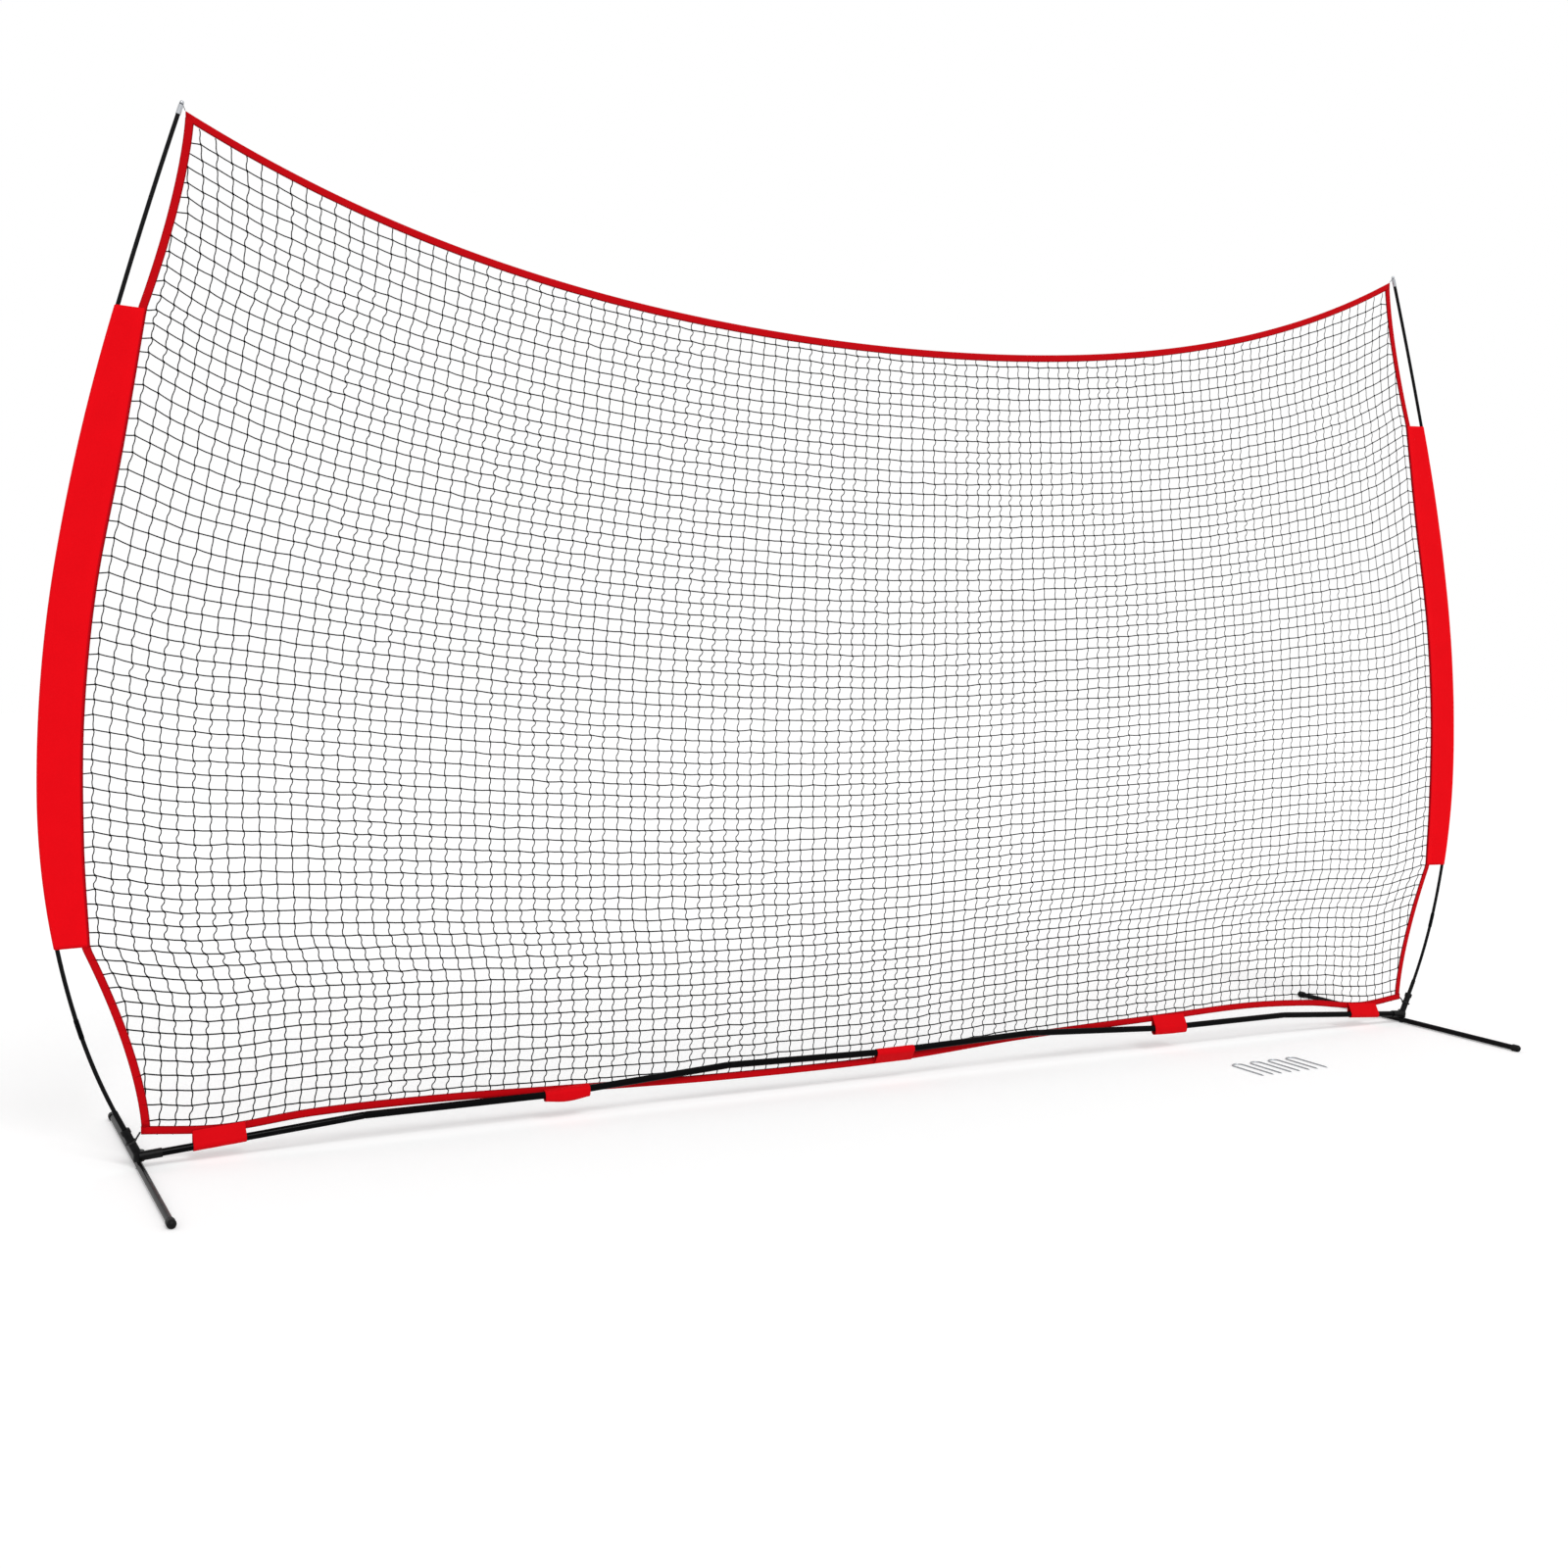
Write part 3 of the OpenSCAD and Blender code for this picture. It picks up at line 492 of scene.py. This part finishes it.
def knotPiece(name, places):
    # one small lump of turned twine, copied to every crossing
    deselectAll()
    bpy.ops.mesh.primitive_ico_sphere_add(subdivisions=1, radius=netting["knot"] / 2)
    knot = bpy.context.object
    bpy.ops.object.mode_set(mode="EDIT")
    bpy.ops.mesh.select_all(action="SELECT")
    bpy.ops.transform.resize(value=netting["knotShape"])
    bpy.ops.object.mode_set(mode="OBJECT")
    corners = [v.co.copy() for v in knot.data.vertices]
    faces = [tuple(p.vertices) for p in knot.data.polygons]
    points, polygons = [], []
    for x, z in places:
        turn = Matrix.Rotation(random.uniform(*netting["knotTurn"]), 3, "Y")
        start = len(points)
        centre = leaned(x, rig["netBehind"], z)
        points += [centre + turn @ c for c in corners]
        polygons += [tuple(start + k for k in face) for face in faces]
    mesh = bpy.data.meshes.new(name)
    mesh.from_pydata(points, [], polygons)
    bpy.data.objects.remove(knot)
    piece = bpy.data.objects.new(name, mesh)
    bpy.context.scene.collection.objects.link(piece)
    deselectAll()
    piece.select_set(True)
    bpy.context.view_layer.objects.active = piece
    bpy.ops.object.shade_smooth()
    return piece


def twineMaterial():
    # Polyethylene twine, dyed black: slanting bands stand for its laid strands, raised in the
    # bump, with a painted highlight on their tops and painted shade between
    material, tree = newMaterial("polyethyleneTwine")
    place = addNode(tree, "TexCoord").outputs["Object"]
    layScale = 250 / math.tau       # one band in about 16 mm along an axis
    strandLayAndShade = addNode(tree, "TexWave", {"Vector": place, "Scale": layScale,
                                    "Distortion": 1.5, "Detail": 2.0},
                  bands_direction="DIAGONAL")
    # painted highlight and shade: the bands' tops are paler and the grooves between them darker
    tone = addNode(tree, "Mix", {0: strandLayAndShade.outputs["Fac"], 6: "#020203", 7: "#0b0c0e"},
                   data_type="RGBA")
    bump = addNode(tree, "Bump", {"Height": strandLayAndShade.outputs["Fac"], "Distance": 0.0003,
                                  "Strength": 0.6})
    shader = addNode(tree, "BsdfPrincipled", {
        "Base Color": tone.outputs[2], "Normal": bump.outputs[0], "Roughness": 0.8,
        "Specular IOR Level": 0.04})
    addNode(tree, "OutputMaterial", {"Surface": shader.outputs[0]})
    return material


rowLines, columnLines, tiedPlaces = netLines()
half = len(columnLines) // 2
netPieces = [twinePiece("net_rows", rowLines, netting["rowTwine"]),
             twinePiece("net_columns_left", columnLines[:half], netting["twine"]),
             twinePiece("net_columns_right", columnLines[half:], netting["twine"]),
             knotPiece("net_knots", tiedPlaces)]
twine = twineMaterial()
for piece in netPieces:
    piece.data.materials.clear()
    piece.data.materials.append(twine)
    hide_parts("net_panel")
    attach(piece, "frame")
print("stage: netting", [len(p.data.polygons) for p in netPieces])


def clothSheet(name, along, across, shape, size, thickness):
    # a flat grid, laid in place point by point; its UV map is kept in metres of cloth
    deselectAll()
    bpy.ops.mesh.primitive_grid_add(x_subdivisions=along, y_subdivisions=across, size=2)
    piece = bpy.context.object
    piece.name = name
    mesh = piece.data
    for loop in mesh.uv_layers.active.data:
        loop.uv = (loop.uv[0] * size[0], loop.uv[1] * size[1])
    for vertex in mesh.vertices:
        s, t = (vertex.co.x + 1) / 2, (vertex.co.y + 1) / 2
        vertex.co = shape(s, t)
    bpy.ops.object.mode_set(mode="EDIT")
    bpy.ops.mesh.select_all(action="SELECT")
    bpy.ops.mesh.normals_make_consistent(inside=False)
    bpy.ops.object.mode_set(mode="OBJECT")
    bpy.ops.object.shade_smooth()
    solidify = piece.modifiers.new("clothThickness", "SOLIDIFY")
    solidify.thickness = thickness
    solidify.offset = 0
    bpy.ops.object.modifier_apply(modifier=solidify.name)
    return piece


def wovenCloth(name, colour, shade, edge, width, stitchRows, edgeShadeWidth):
    # Polyester cloth: plain weave in the bump, slow drifts of dye, painted shade that darkens it
    # along its edges where it meets the next part, and rows of lockstitch that pinch the cloth
    material, tree = newMaterial(name)
    thread = 1.0        # mm over one thread and under the next, drawn coarse enough to show
    stitchLength, stitchHalf = 0.0036, 0.0006       # half of the stitch's width
    stitchShown, pinchReach = 0.78, 0.0022          # share of its length on this face
    uv = addNode(tree, "UVMap", uv_map="UVMap").outputs[0]
    split = addNode(tree, "SeparateXYZ", {"Vector": uv})
    along, across = split.outputs[0], split.outputs[1]
    waves = []
    for way in (along, across):
        turns = addNode(tree, "Math", {0: way, 1: 1000 / thread * math.tau},
                        operation="MULTIPLY")
        waves.append(addNode(tree, "Math", {0: turns.outputs[0]}, operation="SINE").outputs[0])
    weave = addNode(tree, "Math", {0: waves[0], 1: waves[1]}, operation="MULTIPLY")
    height = addNode(tree, "Math", {0: weave.outputs[0], 1: 0.25}, operation="MULTIPLY").outputs[0]
    cloud = addNode(tree, "TexNoise", {"Vector": uv, "Scale": 14.0, "Detail": 5.0})
    slub = addNode(tree, "TexNoise", {"Vector": uv, "Scale": 500.0, "Detail": 2.0})
    tone = addNode(tree, "Mix", {0: 0.3, 2: cloud.outputs["Fac"], 3: slub.outputs["Fac"]})
    body = addNode(tree, "Mix", {0: tone.outputs[0], 6: colour, 7: shade},
                   data_type="RGBA").outputs[2]
    # painted shade: within this width of the cloth's edges the colour darkens towards the edge
    # colour, which is also the stitching thread's colour
    far = addNode(tree, "Math", {0: width, 1: across}, operation="SUBTRACT")
    rim = addNode(tree, "Math", {0: across, 1: far.outputs[0]}, operation="MINIMUM")
    edgeShadeMask = addNode(tree, "MapRange", {"Value": rim.outputs[0], "From Min": edgeShadeWidth,
                                         "From Max": 0.0}, interpolation_type="SMOOTHSTEP")
    body = addNode(tree, "Mix", {0: edgeShadeMask.outputs[0], 6: body, 7: edge},
                   data_type="RGBA").outputs[2]
    for row in stitchRows:
        offset = addNode(tree, "Math", {0: across, 1: row}, operation="SUBTRACT")
        gap = addNode(tree, "Math", {0: offset.outputs[0]}, operation="ABSOLUTE").outputs[0]
        onRow = addNode(tree, "Math", {0: gap, 1: stitchHalf}, operation="LESS_THAN")
        count = addNode(tree, "Math", {0: along, 1: stitchLength}, operation="DIVIDE")
        beat = addNode(tree, "Math", {0: count.outputs[0]}, operation="FRACT")
        lit = addNode(tree, "Math", {0: beat.outputs[0], 1: stitchShown}, operation="LESS_THAN")
        dash = addNode(tree, "Math", {0: onRow.outputs[0], 1: lit.outputs[0]},
                       operation="MULTIPLY").outputs[0]
        body = addNode(tree, "Mix", {0: dash, 6: body, 7: edge}, data_type="RGBA").outputs[2]
        pinch = addNode(tree, "MapRange", {"Value": gap, "From Min": pinchReach, "From Max": 0.0},
                        interpolation_type="SMOOTHSTEP")
        sunk = addNode(tree, "Math", {0: height, 1: pinch.outputs[0]}, operation="SUBTRACT")
        height = addNode(tree, "Math", {0: sunk.outputs[0], 1: dash}, operation="ADD").outputs[0]
    bump = addNode(tree, "Bump", {"Height": height, "Distance": 0.0003, "Strength": 0.6})
    shader = addNode(tree, "BsdfPrincipled", {
        "Base Color": body, "Normal": bump.outputs[0], "Roughness": 0.75,
        "Specular IOR Level": 0.08, "Sheen Weight": 0.01, "Sheen Roughness": 0.4})
    addNode(tree, "OutputMaterial", {"Surface": shader.outputs[0]})
    return material


tape = {
    "width": 0.0235, "gap": 0.0028, "ply": 0.0007,
    "section": 12, "steps": (220, 260, 160),        # along the top, the bottom and a side
    "pucker": 0.0004, "puckerWaves": (0.021, 0.13),
    "lipPress": 0.25,       # its open edges are pressed together by this share
    "pastCorner": 0.006,
}


def tapeSection(t):
    # across the folded tape: 0 at one inner edge, 0.5 at the fold, 1 at the other inner edge
    # gives (distance in from the fold, distance to the front)
    half = tape["gap"] / 2 + tape["ply"] / 2
    straight = tape["width"] - half
    total = 2 * straight + math.pi * half
    at = t * total
    if at < straight:
        return tape["width"] - at, half
    if at > total - straight:
        return tape["width"] - (total - at), -half
    angle = (at - straight) / half
    return half - half * math.sin(angle), half * math.cos(angle)


tapeFlat = (2 * (tape["width"] - tape["gap"] / 2 - tape["ply"] / 2)
            + math.pi * (tape["gap"] + tape["ply"]) / 2)


def pathLength(points):
    return sum((b - a).length for a, b in zip(points, points[1:]))


def tapePiece(name, node, edge, inward, steps):
    # edge(s) is the fold's line in the bow's plane, inward(s) the unit way to the netting
    line = [Vector(edge(k / steps)) for k in range(steps + 1)]
    length = pathLength(line)

    def shape(s, t):
        x, z = edge(s)
        deep, front = tapeSection(t)
        nx, nz = inward(s)
        short, long = tape["puckerWaves"]
        pucker = tape["pucker"] * math.sin(s * length / short) * math.sin(s * length / long + 1)
        lip = deep / tape["width"]
        behind = rig["netBehind"] - front * (1 - tape["lipPress"] * lip) + pucker * lip
        return leaned(x + nx * deep, behind, z + nz * deep)
    piece = clothSheet(name, steps, tape["section"], shape, (length, tapeFlat), tape["ply"])
    piece.data.materials.clear()
    piece.data.materials.append(tapeMaterial)
    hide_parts(node)
    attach(piece, "frame")


# the fourth colour is painted shade along the tape's edges and the colour of its stitching thread
tapeMaterial = wovenCloth("polyesterBindingTape", "#cc000c", "#b8000b", "#8a000c", tapeFlat,
                          (0.0025, tapeFlat - 0.0025), 0.003)


def topEdge(s):
    x = (2 * s - 1) * topCornerX
    return x, topHeight(x)


def hemEdge(s):
    x = (2 * s - 1) * bottomCornerX
    return x, hemHeight(x) - outline["bindingWidth"] / 2


def sideEdge(side):
    low = outline["cornerHeight"] + outline["bindingWidth"] / 2
    high = topHeight(topCornerX + tape["pastCorner"]) - outline["bindingWidth"]

    def edge(s):
        z = low + (high - low) * s
        return side * sideX(z), z
    return edge


topSteps, bottomSteps, sideSteps = tape["steps"]
tapePiece("binding_top", "top_binding", topEdge, lambda s: (0, -1), topSteps)
tapePiece("binding_bottom", "bottom_binding", hemEdge, lambda s: (0, 1), bottomSteps)
tapePiece("binding_left", "side_binding_left", sideEdge(-1), lambda s: (1, 0), sideSteps)
tapePiece("binding_right", "side_binding_right", sideEdge(1), lambda s: (-1, 0), sideSteps)
print("stage: bindings")

sleeve = {
    "ply": 0.0008, "clearance": 0.0009, "overBinding": 0.0007, "pastBinding": 0.003,
    "steps": 150, "section": 44,
    "turn": 200, "turnSteps": 12,       # degrees that it goes round the pole
    "crease": 0.0007,
    "widestAt": 1.35, "slices": 20,     # its area is summed in slices
}


def sleeveSection(z):
    # from the front seam on the binding out round the pole to the back seam, as (x, front)
    radius = rig["ferruleRadius"] + sleeve["clearance"] + sleeve["ply"] / 2
    seam = sideX(z) - outline["bindingWidth"]
    flat = outline["bindingThickness"] / 2 + sleeve["overBinding"]
    pole = poleX(z)
    points = [Vector((seam, flat - rig["netBehind"]))]
    outer = sideX(z) + sleeve["pastBinding"]
    points.append(Vector((outer, flat - rig["netBehind"])))
    turn, steps = sleeve["turn"], sleeve["turnSteps"]
    for k in range(steps + 1):
        angle = math.radians(turn / 2 - turn * k / steps)
        points.append(Vector((pole + radius * math.cos(angle), radius * math.sin(angle))))
    points.append(Vector((outer, -flat - rig["netBehind"])))
    points.append(Vector((seam, -flat - rig["netBehind"])))
    return points


def alongLine(points, share):
    total = pathLength(points)
    left = share * total
    for a, b in zip(points, points[1:]):
        step = (b - a).length
        if left <= step:
            return a + (b - a) * (left / step)
        left -= step
    return points[-1]


def sleevePiece(side, name, node):
    low, high = outline["sleeveFoot"], sleeveTop
    sections = {}

    def shape(s, t):
        z = low + (high - low) * s
        key = round(s, 6)
        if key not in sections:
            sections[key] = sleeveSection(z)
        at = alongLine(sections[key], t)
        span = abs(t - 0.5) * 2          # 1 at the seams, 0 on the pole's outer side
        free = math.sin(math.pi * min(span, 1))
        waves = math.sin(z * 31 + 4 * t) + 0.6 * math.sin(z * 74 - 7 * t)
        crease = sleeve["crease"] * free * waves
        return leaned(side * at.x, -at.y + crease, z)
    widest = pathLength(sleeveSection(sleeve["widestAt"]))
    piece = clothSheet(name, sleeve["steps"], sleeve["section"], shape, (high - low, widest),
                       sleeve["ply"])
    piece.data.materials.clear()
    piece.data.materials.append(sleeveMaterial)
    slices = sleeve["slices"]
    area = sum(pathLength(sleeveSection(low + (high - low) * (k + 0.5) / slices))
               for k in range(slices))
    area *= (high - low) / slices
    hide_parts(node)
    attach(piece, "frame")


sleeveWidth = pathLength(sleeveSection(sleeve["widestAt"]))
# the fourth colour is painted shade along the sleeve's seams and the colour of its stitching
# thread
sleeveMaterial = wovenCloth("oxfordPolyester", "#f20010", "#e6000e", "#bc000f", sleeveWidth,
                            (0.004, sleeveWidth - 0.004), 0.008)
sleevePiece(-1, "pole_sleeve_left", "sleeve_left")
sleevePiece(1, "pole_sleeve_right", "sleeve_right")
print("stage: sleeves")

strap = {
    "width": 0.148, "ply": 0.0012, "clearance": 0.0005, "round": 24, "steps": 36, "section": 60,
    "beforeTape": 0.0003, "betweenPlies": 0.0002, "seamIn": 0.0006, "ripple": 0.0004,
    # middle along the tube, and how far the loop hangs below it at its left, middle and right
    "loops": (
        (-2.220, (0.001, 0.001, 0.001)), (-1.163, (0.008, 0.018, 0.012)),
        (0.034, (0.002, 0.003, 0.002)), (1.234, (0.012, 0.013, 0.012)),
        (2.220, (0.001, 0.001, 0.001)),
    ),
}


def tautRound(points):
    # the line that a taut loop takes round these points, turning one way all along
    def walk(ordered):
        line = []
        for p in ordered:
            while len(line) > 1 and (line[-1] - line[-2]).cross(p - line[-2]) <= 0:
                line.pop()
            line.append(p)
        return line[:-1]
    ordered = sorted(points, key=lambda p: (p.x, p.y))
    return walk(ordered) + walk(ordered[::-1])


def strapPiece(number, middle, hang):
    ends = (middle - strap["width"] / 2, middle + strap["width"] / 2)
    slope = (tubeHeight(ends[1]) - tubeHeight(ends[0])) / strap["width"]
    level = (tubeHeight(ends[0]) + tubeHeight(ends[1])) / 2
    hem = hemHeight(middle)
    sign = 1 if hem > level else -1      # the seam is above the tube or below it
    radius = rig["baseRadius"] + strap["clearance"] + strap["ply"] / 2
    lowest = min(hemHeight(e) for e in ends) - outline["bindingWidth"] / 2
    back = (rig["netBehind"] - outline["bindingThickness"] / 2 - strap["beforeTape"]
            - strap["ply"] / 2 + (lowest - rig["hubHeight"]) * math.tan(rig["leanBack"]))
    front = back - strap["ply"] - strap["betweenPlies"]
    edge = hem + sign * (outline["bindingWidth"] / 2 - strap["seamIn"])

    def section(s):
        slack = curveThrough(((0, hang[0]), (0.5, hang[1]), (1, hang[2])), s)
        points = [Vector((front, edge)), Vector((back, edge)), Vector((back, level)),
                  Vector((front, level))]
        for k in range(strap["round"]):
            angle = math.tau * k / strap["round"]
            for drop in (0, slack):
                points.append(Vector((radius * math.cos(angle) - rig["baseForward"],
                                      level - drop + radius * math.sin(angle))))
        line = tautRound(points)
        start = min(range(len(line)), key=lambda k: (line[k] - Vector((back, edge))).length)
        line = line[start:] + line[:start]
        ends = (Vector((back, edge)), Vector((front, edge)))
        if (line[1] - ends[1]).length < 1e-6:      # it runs the other way round
            line = [line[0]] + line[1:][::-1]
        return [p for p in line if (p - ends[1]).length > 1e-6] + [ends[1]]
    sections = {}

    def shape(s, t):
        key = round(s, 5)
        if key not in sections:
            sections[key] = section(s)
        at = alongLine(sections[key], t)
        along = (s - 0.5) * strap["width"]
        ripple = strap["ripple"] * math.sin(s * 17 + number) * math.sin(t * math.pi)
        return Vector((middle + along, at.x - ripple, at.y + slope * along))
    flat = (strap["width"], pathLength(section(0.5)))
    piece = clothSheet(f"strap_{number}", strap["steps"], strap["section"], shape, flat,
                       strap["ply"])
    piece.data.materials.clear()
    piece.data.materials.append(strapMaterial)
    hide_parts(f"base_strap_{number}")
    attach(piece, "frame")


# the fourth colour is painted shade along the strap's seam edge; the strap has no stitch rows
strapMaterial = wovenCloth("oxfordStrap", "#e4000f", "#d0000d", "#93000c", 1.0, (), 0.003)
for number, loop in enumerate(strap["loops"], 1):
    strapPiece(number, *loop)
print("stage: straps")

studio = {
    "worldLevel": 0.62, "keyStrength": 1.3, "keyAngle": 20,
    "keyTurn": (42, -18, 20),       # degrees about X, Y and Z
    "floorSize": 60, "floorColour": "#f2f2f2", "floorLift": 0.24,
}


def makeFloor():
    deselectAll()
    bpy.ops.mesh.primitive_plane_add(size=studio["floorSize"], location=(0, 0, 0))
    floor = bpy.context.object
    floor.name = "studioFloor"
    # Matt paper: its own lift is seen by the camera alone, so it reads white under a soft shadow
    material, tree = newMaterial("paleFloor")
    path = addNode(tree, "LightPath")
    lift = addNode(tree, "Math", {0: path.outputs["Is Camera Ray"], 1: studio["floorLift"]},
                   operation="MULTIPLY")
    shader = addNode(tree, "BsdfPrincipled", {
        "Base Color": studio["floorColour"], "Roughness": 0.9, "Specular IOR Level": 0.1,
        "Emission Color": "#ffffff", "Emission Strength": lift.outputs[0]})
    addNode(tree, "OutputMaterial", {"Surface": shader.outputs[0]})
    floor.data.materials.append(material)


def makeLight():
    world = bpy.data.worlds.new("paleStudio")
    bpy.context.scene.world = world
    world.use_nodes = True
    tree = world.node_tree
    tree.nodes.clear()
    path = addNode(tree, "LightPath")
    seen = addNode(tree, "Math", {0: path.outputs["Is Camera Ray"],
                                  1: path.outputs["Is Glossy Ray"]}, operation="MAXIMUM")
    seen = addNode(tree, "Math", {0: seen.outputs[0], 1: path.outputs["Is Transmission Ray"]},
                   operation="MAXIMUM")
    level = addNode(tree, "MapRange", {"Value": seen.outputs[0], "To Min": studio["worldLevel"],
                                       "To Max": 1.0})
    back = addNode(tree, "Background", {"Color": "#ffffff", "Strength": level.outputs[0]})
    addNode(tree, "OutputWorld", {"Surface": back.outputs[0]})
    sun = bpy.data.lights.new("softKey", "SUN")
    sun.energy = studio["keyStrength"]
    sun.angle = math.radians(studio["keyAngle"])
    key = bpy.data.objects.new("softKey", sun)
    bpy.context.scene.collection.objects.link(key)
    key.rotation_euler = [math.radians(turn) for turn in studio["keyTurn"]]
    bpy.context.scene.view_settings.view_transform = "Standard"


makeFloor()
makeLight()
print("stage: floor and light")
